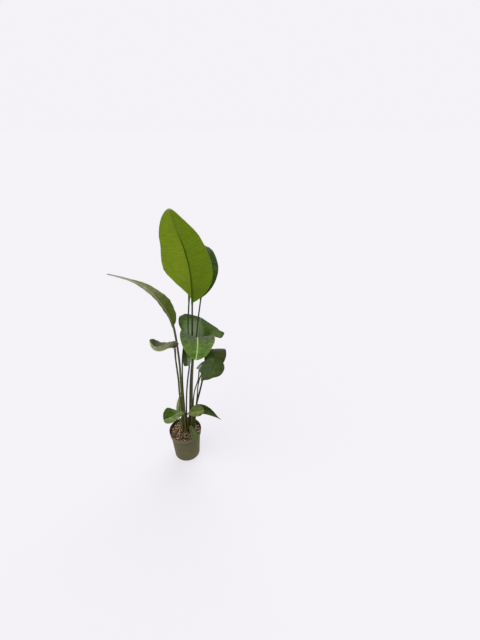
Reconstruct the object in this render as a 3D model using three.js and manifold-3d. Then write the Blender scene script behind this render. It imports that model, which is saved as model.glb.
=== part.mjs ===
// A young giant bird of paradise in a round grower's pot: three seedlings together,
// their long-stalked leaves rising from the potting mix. Millimetres, +Z up,
// origin at the middle of the pot's underside.
import * as THREE from 'three';
import Module from 'manifold-3d';
import { mergeVertices } from 'three/addons/utils/BufferGeometryUtils.js';

const wasm = await Module();
wasm.setup();

// Pot: a six inch thin-walled grower's pot with a stepped rim band
const POT_TOP = 158;
const RIM_RADIUS = 76;
const BAND_BOTTOM = 131;
const NECK_RADIUS = 69.5;
const BASE_RADIUS = 60;
const WALL = 2;
const FLOOR = 2.5;
const POT_SIDES = 40;
const DRAIN_COUNT = 8;
const DRAIN_RADIUS = 5;
const DRAIN_RING = 49;
const DRAIN_SIDES = 10;

// Potting mix
const SOIL_TOP = 141;
const SOIL_GAP = 0.4;
const SOIL_RINGS = 9;
const MOUND = 3;
const CHIP_HEIGHT = 1.8;

// Leaves
const FOOT_DEPTH = 108;
const FOOT_STRAIGHT = 150;
const HOLE_TOP = 152;
const HOLE_GAP = 0.4;
const BLADE_THICKNESS = 1;
const TIP_HALF = 1.6;
const RIB_TO_NECK = 0.85;
const TIP_RIB = 0.5;
const KEEL_AT_NECK = 1.3;
const KEEL_AT_TIP = 0.8;
const KEEL_NARROWING = 0.7;
const STALK_FLATNESS = 0.82;
const SHEATH_SHARE = 0.3;
const TURN_SHARE = 0.75;
const END_CROWDING = 0.55;
const LOBE_SHARE = 0.3;

// Each leaf is read from its foot in the mix to its tip. stalk runs from above the
// mix to the blade's base, midrib goes on from there to the tip. Seen on its upper
// face with the tip up, these are given as [left, right]: half is the widest half
// width and belly how far along it comes, base and tip say how round the two ends are
// (small is blunt), fold how many degrees the half is raised from flat, curl how many
// it turns down again to its edge, wave how high its edge waves, and lobe how far it
// reaches back past the neck. faces are the ways the upper side looks on the stalk, at
// the blade's base and at the tip. radii are the stalk's at foot, middle and neck.
// tipHalf is half the width that a blade with a long dry tip keeps to its end.
const LEAVES = [
  {
    name: 'leaf_tall_front', foot: [16, -1], radii: [6, 4.3, 3.2],
    stalk: [[23, 0, 215], [39, 0, 320], [51, 0, 441], [59, 0, 551], [67, 0, 659], [74, 0, 763],
      [79, 0, 841]],
    midrib: [[82, -5, 897], [82, -11, 964], [76, -17, 1021], [65, -24, 1078], [50, -31, 1126],
      [40, -38, 1166], [33, -44, 1207]],
    faces: [[0, 1, 0], [0, 1, 0.1], [0, 1, 0.2]],
    half: [83, 97], belly: [0.36, 0.4], base: [0.7, 1.8], tip: [0.66, 0.62], fold: [8, 12],
    curl: [14, 14], wave: [3, 4], waves: 3, stations: 16, wide: true,
  },
  {
    name: 'leaf_tall_back', foot: [20, 12], radii: [5.4, 3.8, 2.8],
    stalk: [[25, 12, 203], [32, 12, 312], [42, 13, 430], [54, 15, 524], [68, 19, 595], [82, 24, 668],
      [94, 34, 753], [108, 46, 838]],
    midrib: [[112, 66, 882], [108, 105, 932], [96, 152, 972], [78, 202, 992], [60, 250, 996]],
    faces: [[0, -1, 0], [0, -0.9, 0.4], [0, -0.2, 1]],
    half: [78, 71], belly: [0.36, 0.42], base: [0.5, 0.85], tip: [0.7, 0.75], fold: [16, 16],
    curl: [20, 20], wave: [3, 3], waves: 3, stations: 12, wide: true,
  },
  {
    name: 'leaf_new_rolled', foot: [7, 15], radii: [4.8, 3.4, 3],
    stalk: [[7, 16, 199], [12, 17, 276], [21, 17, 374], [32, 18, 455], [43, 20, 520], [49, 22, 582],
      [51, 23, 648], [51, 24, 716], [62, 27, 826]],
    midrib: [[70, 28, 900], [77, 30, 990], [80, 32, 1060], [80, 34, 1120]],
    faces: [[0, 1, 0], [0, 1, 0], [0, 1, 0]],
    rolled: 8, stations: 10,
  },
  {
    name: 'leaf_arching_left', foot: [3, -5], radii: [6.4, 6.6, 5.2],
    stalk: [[2, -2, 211], [2, -1, 312], [2, 0, 389], [4, 0, 470], [6, -1, 541], [5, 0, 598], [2, 0, 673],
      [-4, 0, 736]],
    midrib: [[-18, -5, 793], [-36, -8, 835], [-72, -12, 892], [-101, -14, 919], [-141, -16, 942],
      [-183, -18, 956], [-222, -20, 967]],
    faces: [[1, 0, 0], [0.85, -0.3, 0.4], [0.1, -0.35, 0.95]],
    half: [36, 49], belly: [0.28, 0.15], base: [0.6, 0.4], tip: [1.2, 2.6], fold: [36, 6], curl: [6, 6],
    wave: [2, 3], waves: 3, tipHalf: 4.5, stations: 14, wide: true,
  },
  {
    name: 'leaf_curled_left', foot: [-10, -6], radii: [5.6, 5.8, 4.4],
    stalk: [[-6, -11, 220], [-4, -14, 324], [-5, -15, 397], [-3, -16, 472], [-4, -17, 532],
      [-5, -18, 591], [-5, -20, 642]],
    midrib: [[-13, -28, 653], [-28, -38, 656], [-44, -47, 652], [-60, -54, 652], [-78, -60, 662],
      [-88, -62, 682], [-90, -60, 708]],
    faces: [[1, 0, 0], [0.2, 0.35, 0.9], [1, 0.3, 0.1]],
    half: [44, 46], belly: [0.28, 0.65], base: [0.4, 0.8], tip: [1.1, 0.45], fold: [54, 40], curl: [0, 0],
    wave: [3, 3], waves: 2, stations: 12,
  },
  {
    name: 'leaf_middle_front', foot: [29, -4], radii: [5.8, 4, 3],
    stalk: [[36, -6, 222], [45, -9, 332], [54, -10, 450], [62, -10, 532], [71, -9, 605], [82, -12, 657]],
    midrib: [[89, -24, 686], [96, -46, 710], [101, -76, 718], [104, -108, 714], [104, -138, 704],
      [102, -165, 688]],
    faces: [[0, 1, 0], [0, 0.7, 0.7], [0, -0.3, 1]],
    half: [67, 74], belly: [0.48, 0.5], base: [0.5, 0.6], tip: [0.52, 0.52], fold: [12, 18],
    curl: [16, -16], wave: [3, 3], waves: 3, stations: 13, wide: true,
  },
  {
    name: 'leaf_middle_back', foot: [31, 21], radii: [4.8, 4.2, 3.4],
    stalk: [[40, 24, 191], [61, 28, 297], [78, 32, 364], [94, 34, 430], [107, 36, 497], [112, 38, 555],
      [107, 48, 606], [91, 60, 642]],
    midrib: [[90, 78, 666], [89, 108, 680], [87, 152, 680], [84, 200, 661], [80, 240, 630]],
    faces: [[0, -1, 0], [0.1, -0.8, 0.6], [0.3, 0.4, 0.85]],
    half: [94, 118], belly: [0.4, 0.26], base: [0.45, 0.2], tip: [0.7, 0.65], fold: [2, -14],
    curl: [14, 8], wave: [4, 4], waves: 3, lobe: [44, 50], stations: 13, wide: true,
  },
  {
    name: 'leaf_middle_drooping', foot: [-6, 8], radii: [4.8, 3.4, 2.8],
    stalk: [[1, 9, 206], [5, 10, 302], [6, 10, 380], [9, 11, 460], [14, 11, 527], [21, 11, 590],
      [31, 10, 636]],
    midrib: [[37, 4, 637], [40, -4, 617], [40, -9, 578], [38, -12, 545]],
    faces: [[0, -1, 0], [0, -0.2, 1], [0.2, -1, 0.1]],
    half: [18, 18], belly: [0.5, 0.5], base: [0.5, 0.5], tip: [0.16, 0.16], fold: [14, 14], curl: [0, 0],
    wave: [1, 1], waves: 2, stations: 10,
  },
  {
    name: 'leaf_right_front', foot: [32, 9], radii: [4.8, 4, 3.4],
    stalk: [[39, 9, 206], [45, 9, 284], [50, 9, 339], [58, 9, 387], [69, 8, 423], [80, 6, 459],
      [88, 1, 511]],
    midrib: [[99, -6, 532], [116, -14, 541], [140, -23, 545], [164, -31, 541], [188, -38, 524]],
    faces: [[-1, 0, 0], [-0.3, -0.5, 0.8], [0.1, -0.6, 0.8]],
    half: [46, 62], belly: [0.62, 0.3], base: [1.3, 0.4], tip: [0.35, 0.5], fold: [10, 6], curl: [10, 10],
    wave: [3, 3], waves: 2, lobe: [24, 0], stations: 12, wide: true,
  },
  {
    name: 'leaf_right_back', foot: [42, 5], radii: [4.8, 4.2, 3.4],
    stalk: [[49, 8, 207], [59, 12, 293], [68, 15, 358], [74, 17, 410], [85, 19, 454], [103, 22, 491],
      [129, 42, 511]],
    midrib: [[146, 58, 541], [149, 86, 551], [147, 118, 542], [141, 150, 514]],
    faces: [[-1, 0, 0], [-0.2, -0.7, 0.7], [0.1, 0.5, 0.9]],
    half: [46, 56], belly: [0.3, 0.3], base: [0.5, 0.5], tip: [0.9, 0.8], fold: [6, 8], curl: [14, 14],
    wave: [2, 2], waves: 2, stations: 10,
  },
  {
    name: 'leaf_low_left', foot: [-22, -9], radii: [4.2, 2.8, 2.2],
    stalk: [[-16, -14, 190], [-10, -22, 244], [4, -31, 299]],
    midrib: [[-6, -38, 302], [-25, -42, 292], [-50, -51, 283], [-81, -58, 272]],
    faces: [[0, 1, 0], [-0.1, -0.3, 1], [-0.2, -0.6, 0.7]],
    half: [37, 50], belly: [0.35, 0.66], base: [0.5, 2.2], tip: [0.4, 0.42], fold: [30, 4],
    curl: [10, 10], wave: [1, 1], waves: 1, stations: 11,
  },
  {
    name: 'leaf_low_upright', foot: [-24, 5], radii: [3.6, 2.4, 2],
    stalk: [[-22, 6, 183], [-26, 8, 240]],
    midrib: [[-23, 9, 274], [-15, 9, 327], [-6, 8, 376]],
    faces: [[0.5, 1, 0], [0.4, 1, 0], [0.2, 1, 0.2]],
    half: [9, 16], belly: [0.2, 0.2], base: [0.7, 0.7], tip: [1.1, 1.1], fold: [24, 16], curl: [0, 0],
    wave: [0, 0], waves: 1, stations: 9,
  },
  {
    name: 'leaf_low_right', foot: [12, -16], radii: [4.2, 2.8, 2.2],
    stalk: [[18, -17, 207], [18, -20, 249], [23, -26, 281]],
    midrib: [[41, -33, 293], [63, -41, 308], [84, -48, 320], [104, -54, 328]],
    faces: [[-1, 0, 0], [-0.4, -0.8, 0.5], [-0.2, -0.8, 0.6]],
    half: [30, 22], belly: [0.66, 0.66], base: [1.3, 0.8], tip: [0.4, 0.45], fold: [12, 8],
    curl: [10, 10], wave: [1, 2], waves: 2, stations: 9,
  },
  {
    name: 'leaf_low_far_right', foot: [41, -8], radii: [4.2, 2.8, 2.2],
    stalk: [[46, -9, 205], [49, -10, 251], [56, -12, 290]],
    midrib: [[72, -15, 301], [95, -18, 303], [117, -21, 295], [142, -25, 278], [175, -32, 251]],
    faces: [[-1, 0, 0], [-0.3, -0.5, 0.8], [0.4, -0.4, 0.8]],
    half: [21, 23], belly: [0.14, 0.2], base: [0.3, 0.5], tip: [1.4, 1.3], fold: [12, 10], curl: [14, 14],
    wave: [2, 2], waves: 2, stations: 10,
  },
  {
    name: 'leaf_low_over_rim', foot: [23, -17], radii: [4, 2.4, 1.8],
    stalk: [[26, -19, 179], [29, -27, 207]],
    midrib: [[38, -38, 200], [47, -52, 188], [56, -63, 171], [60, -68, 153]],
    faces: [[-1, 0, 0], [0.1, -0.3, 1], [0.5, -0.4, 0.8]],
    half: [14, 17], belly: [0.6, 0.6], base: [0.6, 0.5], tip: [0.4, 0.45], fold: [12, 12], curl: [8, 8],
    wave: [1, 1], waves: 1, stations: 8,
  },
];

const LEAF_GREEN = new THREE.MeshStandardMaterial({ color: 0x3d6b2a, roughness: 0.45, metalness: 0 });
const POT_OLIVE = new THREE.MeshStandardMaterial({ color: 0x55563a, roughness: 0.6, metalness: 0 });
const MIX_BROWN = new THREE.MeshStandardMaterial({ color: 0x4a382b, roughness: 0.95, metalness: 0 });

const radians = THREE.MathUtils.degToRad;
const smooth = THREE.MathUtils.smoothstep;
const mix = THREE.MathUtils.lerp;
const vector = (values) => new THREE.Vector3(...values);

// A closed surface through rings of points, with a flat end at each. The first half
// of a ring is the upper face and the second half the lower, and both are split
// into the same triangles, so a thin waved sheet never meets itself.
function loft(rings) {
  const count = rings[0].length;
  const points = rings.flat();
  const triangles = [];
  for (let k = 0; k + 1 < rings.length; k += 1) {
    for (let j = 0; j < count; j += 1) {
      const a = k * count + j;
      const b = k * count + (j + 1) % count;
      const c = a + count;
      const d = b + count;
      if (j < count / 2) triangles.push(a, b, d, a, d, c);
      else triangles.push(a, b, c, b, d, c);
    }
  }
  for (const [ring, first, turn] of [[rings[0], 0, 1], [rings.at(-1), (rings.length - 1) * count, 0]]) {
    const middle = points.length;
    points.push(ring.reduce((sum, p) => sum.add(p), vector([0, 0, 0])).divideScalar(count));
    for (let j = 0; j < count; j += 1) {
      const here = first + j;
      const next = first + (j + 1) % count;
      triangles.push(middle, ...(turn ? [next, here] : [here, next]));
    }
  }
  const geometry = new THREE.BufferGeometry().setFromPoints(points);
  geometry.setIndex(triangles);
  return geometry;
}

// The half width of a blade at s, 0 at its base and 1 at its tip, as a share of its
// widest: a round shoulder up to the belly, then a taper to the tip.
function outline(s, belly, base, tip) {
  if (s < belly) return Math.sin((Math.PI / 2) * (s / belly)) ** base;
  return Math.max(Math.cos((Math.PI / 2) * ((s - belly) / (1 - belly))), 0) ** tip;
}

// A stalk is thickest in its sheath, the lowest part, and slims again to its neck
function stalkRadius(leaf, u) {
  const [foot, middle, neck] = leaf.radii;
  if (u < SHEATH_SHARE) return mix(foot, middle, smooth(u, 0.05, SHEATH_SHARE));
  return mix(middle, neck, (u - SHEATH_SHARE) / (1 - SHEATH_SHARE));
}

function ellipse(count, wide, high) {
  return Array.from({ length: count }, (_, j) => {
    const turn = Math.PI * (1 - (2 * j + 1) / count);
    return [wide * Math.cos(turn), high * Math.sin(turn), 0];
  });
}

// The blade's cross-section at s, in [across, up, back]: its upper face from left to
// right, then its lower face back, with the midrib as a keel underneath.
function bladeSection(leaf, s) {
  const steps = leaf.wide ? [1, 0.5, 0.08] : [1, 0.45];
  const rib = mix(leaf.radii[2] * RIB_TO_NECK, TIP_RIB, s);
  const keel = mix(leaf.radii[2] * KEEL_AT_NECK, KEEL_AT_TIP, s);
  const halves = [0, 1].map((side) => {
    const shape = outline(s, leaf.belly[side], leaf.base[side], leaf.tip[side]);
    const narrowest = rib + (leaf.tipHalf ?? TIP_HALF) - TIP_RIB;
    const reach = Math.max(leaf.half[side] * shape, narrowest);
    const wave = leaf.wave[side] * shape * Math.sin(2 * Math.PI * leaf.waves * s + side * 2);
    const lobe = (leaf.lobe?.[side] ?? 0) * (1 - Math.min(s / LOBE_SHARE, 1)) ** 2;
    return steps.map((t) => {
      const along = rib + (reach - rib) * t;
      const raised = radians(leaf.fold[side] - (leaf.curl[side] * t) / 2);
      const slope = radians(leaf.fold[side] - leaf.curl[side] * t);
      const sign = side ? 1 : -1;
      return {
        at: [sign * along * Math.cos(raised), along * Math.sin(raised) + wave * t * t, lobe * t * t],
        normal: [-sign * Math.sin(slope), Math.cos(slope), 0],
      };
    });
  });
  const shifted = (spot, way) => spot.at.map((v, i) => v + (way * spot.normal[i] * BLADE_THICKNESS) / 2);
  const upper = [
    ...halves[0].map((spot) => shifted(spot, 1)),
    [-rib, BLADE_THICKNESS / 2, 0], [rib, BLADE_THICKNESS / 2, 0],
    ...halves[1].map((spot) => shifted(spot, 1)).reverse(),
  ];
  const lower = [
    ...halves[1].map((spot) => shifted(spot, -1)),
    [rib * KEEL_NARROWING, -keel, 0], [-rib * KEEL_NARROWING, -keel, 0],
    ...halves[0].map((spot) => shifted(spot, -1)).reverse(),
  ];
  return [...upper, ...lower];
}

// Where a leaf runs: its curve, and the share of its length at which the blade starts
function leafCurve(leaf) {
  const [x, y] = leaf.foot;
  const points = [[x, y, FOOT_DEPTH], [x, y, FOOT_STRAIGHT], ...leaf.stalk, ...leaf.midrib].map(vector);
  const curve = new THREE.CatmullRomCurve3(points, false, 'centripetal');
  curve.arcLengthDivisions = 400;
  const lengths = curve.getLengths();
  const baseIndex = leaf.stalk.length + 1;
  const spot = (baseIndex / (points.length - 1)) * (lengths.length - 1);
  const low = Math.floor(spot);
  const length = mix(lengths[low], lengths[Math.min(low + 1, lengths.length - 1)], spot - low);
  return { curve, bladeStart: length / lengths.at(-1) };
}

// One ring of a leaf at u along its whole curve. Its upper face turns to the blade's
// over the last part of the stalk. extra widens a stalk on all sides.
function leafRing(leaf, run, u, extra = 0) {
  const { curve, bladeStart } = run;
  const s = (u - bladeStart) / (1 - bladeStart);
  const along = curve.getTangentAt(u);
  const [stalkFace, baseFace, tipFace] = leaf.faces.map(vector);
  const face = s <= 0
    ? stalkFace.lerp(baseFace, smooth(u / bladeStart, TURN_SHARE, 1))
    : baseFace.lerp(tipFace, s);
  const right = along.clone().cross(face).normalize();
  const up = right.clone().cross(along).normalize();
  const count = leaf.wide ? 16 : 12;
  let section;
  if (s <= 0) {
    const radius = stalkRadius(leaf, u / bladeStart) + extra;
    section = ellipse(count, radius, radius * STALK_FLATNESS + extra * (1 - STALK_FLATNESS));
  } else if (leaf.rolled) {
    const swell = mix(leaf.radii[2], leaf.rolled, outline(s, 0.4, 1, 1));
    const radius = Math.max(swell * outline(s, 0.3, 0, 0.7), 1);
    section = ellipse(count, radius, radius);
  } else {
    section = bladeSection(leaf, s);
  }
  const centre = curve.getPointAt(u);
  const backward = curve.getPointAt(bladeStart).sub(curve.getPointAt(1)).normalize();
  return section.map(([across, high, back]) => centre.clone()
    .addScaledVector(right, across)
    .addScaledVector(up, high)
    .addScaledVector(backward, back));
}

// Where a leaf's rings stand: a few at the foot, then evenly up the stalk, then along
// the blade, closer together at its two ends, where the outline turns fast
function leafStations(leaf, run) {
  const lower = [0, 0.04, 0.08];
  const stalkSteps = leaf.stalk.length + 1;
  for (let k = 1; k <= stalkSteps; k += 1) lower.push(mix(0.08, 1, k / stalkSteps));
  const blade = Array.from({ length: leaf.stations }, (_, k) => {
    const t = (k + 1) / leaf.stations;
    return mix(run.bladeStart, 1, mix(t, smooth(t, 0, 1), END_CROWDING));
  });
  return [...lower.map((t) => t * run.bladeStart), ...blade];
}

function leafGeometry(leaf) {
  const run = leafCurve(leaf);
  return loft(leafStations(leaf, run).map((u) => leafRing(leaf, run, u)));
}

function toManifold(geometry) {
  const bare = geometry.clone();
  for (const key of ['normal', 'uv']) if (bare.attributes[key]) bare.deleteAttribute(key);
  const merged = mergeVertices(bare, 1e-4);
  return new wasm.Manifold(new wasm.Mesh({
    numProp: 3,
    vertProperties: Float32Array.from(merged.attributes.position.array),
    triVerts: Uint32Array.from(merged.index.array),
  }));
}

function fromManifold(solid) {
  const { vertProperties, triVerts } = solid.getMesh();
  const geometry = new THREE.BufferGeometry();
  geometry.setAttribute('position', new THREE.BufferAttribute(vertProperties, 3));
  geometry.setIndex(new THREE.BufferAttribute(triVerts, 1));
  return geometry;
}

// The hole that a leaf's foot stands in: the foot's own shape, a little larger
function footHole(leaf) {
  const run = leafCurve(leaf);
  const rings = [leafRing(leaf, run, 0, HOLE_GAP).map((p) => p.setZ(FOOT_DEPTH - HOLE_GAP))];
  for (const u of leafStations(leaf, run).slice(1)) {
    rings.push(leafRing(leaf, run, u, HOLE_GAP));
    if (run.curve.getPointAt(u).z > HOLE_TOP) break;
  }
  return toManifold(loft(rings));
}

// The pot is turned from its outline, up the outside and back down the inside: a
// rounded foot, a tapering wall, the step of the rim band and a rounded lip
function potGeometry() {
  const outside = [
    [0, 0], [BASE_RADIUS - 3, 0], [BASE_RADIUS - 0.8, 1], [BASE_RADIUS, 3.5],
    [NECK_RADIUS, BAND_BOTTOM - 1], [NECK_RADIUS + 3.4, BAND_BOTTOM], [NECK_RADIUS + 4, BAND_BOTTOM + 1.5],
    [RIM_RADIUS - 0.8, POT_TOP - 4], [RIM_RADIUS, POT_TOP - 2.5], [RIM_RADIUS - 0.3, POT_TOP - 0.5],
    [RIM_RADIUS - 1.2, POT_TOP], [RIM_RADIUS - 2.4, POT_TOP - 0.6],
  ];
  const inside = [...innerWall()].reverse();
  const profile = [...outside, ...inside].map(([r, z]) => new THREE.Vector2(r, z));
  const turned = new THREE.LatheGeometry(profile, POT_SIDES).rotateX(Math.PI / 2);
  let solid = toManifold(turned);
  for (let k = 0; k < DRAIN_COUNT; k += 1) {
    const angle = ((k + 0.5) / DRAIN_COUNT) * 2 * Math.PI;
    const drain = new THREE.CylinderGeometry(DRAIN_RADIUS, DRAIN_RADIUS, 4 * FLOOR, DRAIN_SIDES)
      .rotateX(Math.PI / 2)
      .translate(DRAIN_RING * Math.cos(angle), DRAIN_RING * Math.sin(angle), 0);
    solid = solid.subtract(toManifold(drain));
  }
  return fromManifold(solid);
}

// The inner wall from the middle of the floor up to under the lip
function innerWall() {
  return [
    [0, FLOOR], [BASE_RADIUS - WALL - 2, FLOOR], [BASE_RADIUS - WALL, FLOOR + 3],
    [NECK_RADIUS - WALL, BAND_BOTTOM + 1], [NECK_RADIUS + 4 - WALL, BAND_BOTTOM + 3.5],
    [RIM_RADIUS - WALL - 0.8, POT_TOP - 4],
  ];
}

// How high the mix stands: a low mound at the crown, rough with chips of bark
function soilHeight(x, y) {
  const far = Math.hypot(x, y) / NECK_RADIUS;
  const across = Math.sin(0.47 * x + 1.7 * Math.sin(0.31 * y));
  const along = Math.cos(0.53 * y - 1.3 * Math.sin(0.29 * x));
  return SOIL_TOP + MOUND * (1 - far * far) + CHIP_HEIGHT * across * along;
}

// The mix fills the pot up the inner wall to just below the lip, a thin gap all round
function soilGeometry() {
  const wall = innerWall().filter(([, z]) => z < SOIL_TOP - 4);
  const fit = ([r, z]) => [Math.max(r - SOIL_GAP, 0), z + (z < BAND_BOTTOM ? SOIL_GAP : 0)];
  const [[, floorZ], ...sides] = wall.map(fit);
  const [low, high] = innerWall().slice(-2);
  const edgeRadius = mix(low[0], high[0], (SOIL_TOP - low[1]) / (high[1] - low[1])) - SOIL_GAP;
  const ring = (radius, z) => Array.from({ length: POT_SIDES }, (_, j) => {
    const angle = (j / POT_SIDES) * 2 * Math.PI;
    const x = radius * Math.cos(angle);
    const y = radius * Math.sin(angle);
    return vector([x, y, z ?? soilHeight(x, y)]);
  });
  const rings = sides.map(([r, z]) => ring(r, z));
  for (let k = SOIL_RINGS; k > 0; k -= 1) rings.push(ring((edgeRadius * k) / SOIL_RINGS));
  const body = loft(rings);
  const points = body.attributes.position;
  points.setXYZ(points.count - 2, 0, 0, floorZ);
  points.setXYZ(points.count - 1, 0, 0, soilHeight(0, 0));
  let solid = toManifold(body);
  for (const leaf of LEAVES) solid = solid.subtract(footHole(leaf));
  return fromManifold(solid);
}

const plant = new THREE.Group();

function place(name, geometry, material) {
  const mesh = new THREE.Mesh(geometry, material);
  mesh.name = name;
  plant.add(mesh);
}

place('pot', potGeometry(), POT_OLIVE);
place('potting_mix', soilGeometry(), MIX_BROWN);
for (const leaf of LEAVES) place(leaf.name, leafGeometry(leaf), LEAF_GREEN);

export default plant;
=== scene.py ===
# %% [markdown]
# # A potted young giant bird of paradise
#
# A clump of seedlings shares one round grower's pot. Every leaf is a long stalk that rises
# from the potting mix and ends in a paddle-shaped blade with a strong midrib and fine,
# parallel side veins. The solids of the plant are made elsewhere and arrive as a fixed
# frame. This notebook dresses that frame: it remakes each leaf as a finer mesh along the
# same curves, turns a smooth pot, heaps the mix with bark and perlite, and then writes the
# materials as small sums.

import math
from types import SimpleNamespace

import bpy
import numpy as np
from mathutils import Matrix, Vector, noise


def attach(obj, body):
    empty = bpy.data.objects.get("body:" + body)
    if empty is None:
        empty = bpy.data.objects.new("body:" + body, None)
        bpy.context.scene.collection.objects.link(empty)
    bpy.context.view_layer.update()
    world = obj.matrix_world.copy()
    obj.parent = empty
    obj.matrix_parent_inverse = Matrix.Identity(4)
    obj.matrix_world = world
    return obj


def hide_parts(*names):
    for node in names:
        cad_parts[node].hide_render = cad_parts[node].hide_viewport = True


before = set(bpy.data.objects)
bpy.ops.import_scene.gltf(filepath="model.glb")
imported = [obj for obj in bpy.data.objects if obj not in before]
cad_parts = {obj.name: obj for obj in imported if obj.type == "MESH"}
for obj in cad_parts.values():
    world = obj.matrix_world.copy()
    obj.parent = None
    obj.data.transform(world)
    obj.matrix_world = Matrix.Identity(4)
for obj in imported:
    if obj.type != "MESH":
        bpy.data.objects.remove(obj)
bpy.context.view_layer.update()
MM = 0.001


def put(name, data):
    """Adds a new object with this mesh, lamp or camera to the scene."""
    thing = bpy.data.objects.new(name, data)
    bpy.context.scene.collection.objects.link(thing)
    return thing


# %% [markdown]
# ## The camera
#
# The photograph looks down on the plant from the front, through a wide lens held a little
# above its top. A wide lens makes the pot look small and the leaves large, so the camera's
# place matters more than its zoom. Every leaf was placed in space with this camera.

# %% Camera
CAMERA_PLACE = (0.264, -1.224, 1.470)
CAMERA_PITCH = 30
CAMERA_LENS = 20
CAMERA_SENSOR = 36


def place_camera():
    data = bpy.data.cameras.new("camera")
    data.lens = CAMERA_LENS
    data.sensor_width = CAMERA_SENSOR
    camera = put("camera", data)
    camera.location = CAMERA_PLACE
    camera.rotation_euler = (math.radians(90 - CAMERA_PITCH), 0, 0)
    bpy.context.scene.camera = camera


place_camera()
print("camera at", CAMERA_PLACE, "looking", CAMERA_PITCH, "degrees down")

# %% [markdown]
# ## The leaves, row by row
#
# A leaf is easiest to describe as it grows: from its foot in the mix, up the stalk and along
# the midrib to the tip. The rows below do that in millimetres. Seen on the upper face with
# the tip up, pairs are (left, right), one number serves both halves and a value left out is
# 0: half is the widest half width and belly how far along it comes, base and tip say how
# round the ends are (small is blunt), fold how many degrees the half is raised from flat,
# curl how many it turns down again to its edge, wave how high its edge waves, and lobe how
# far it reaches back past the neck. waves counts the waves along an edge. faces are the ways
# the upper side looks on the stalk, at the blade's base and at the tip, and radii are the
# stalk's at its foot, middle and neck. tip_half is half the width that a long dry tip keeps,
# and rolled is the radius of a leaf that hasn't opened.

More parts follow.
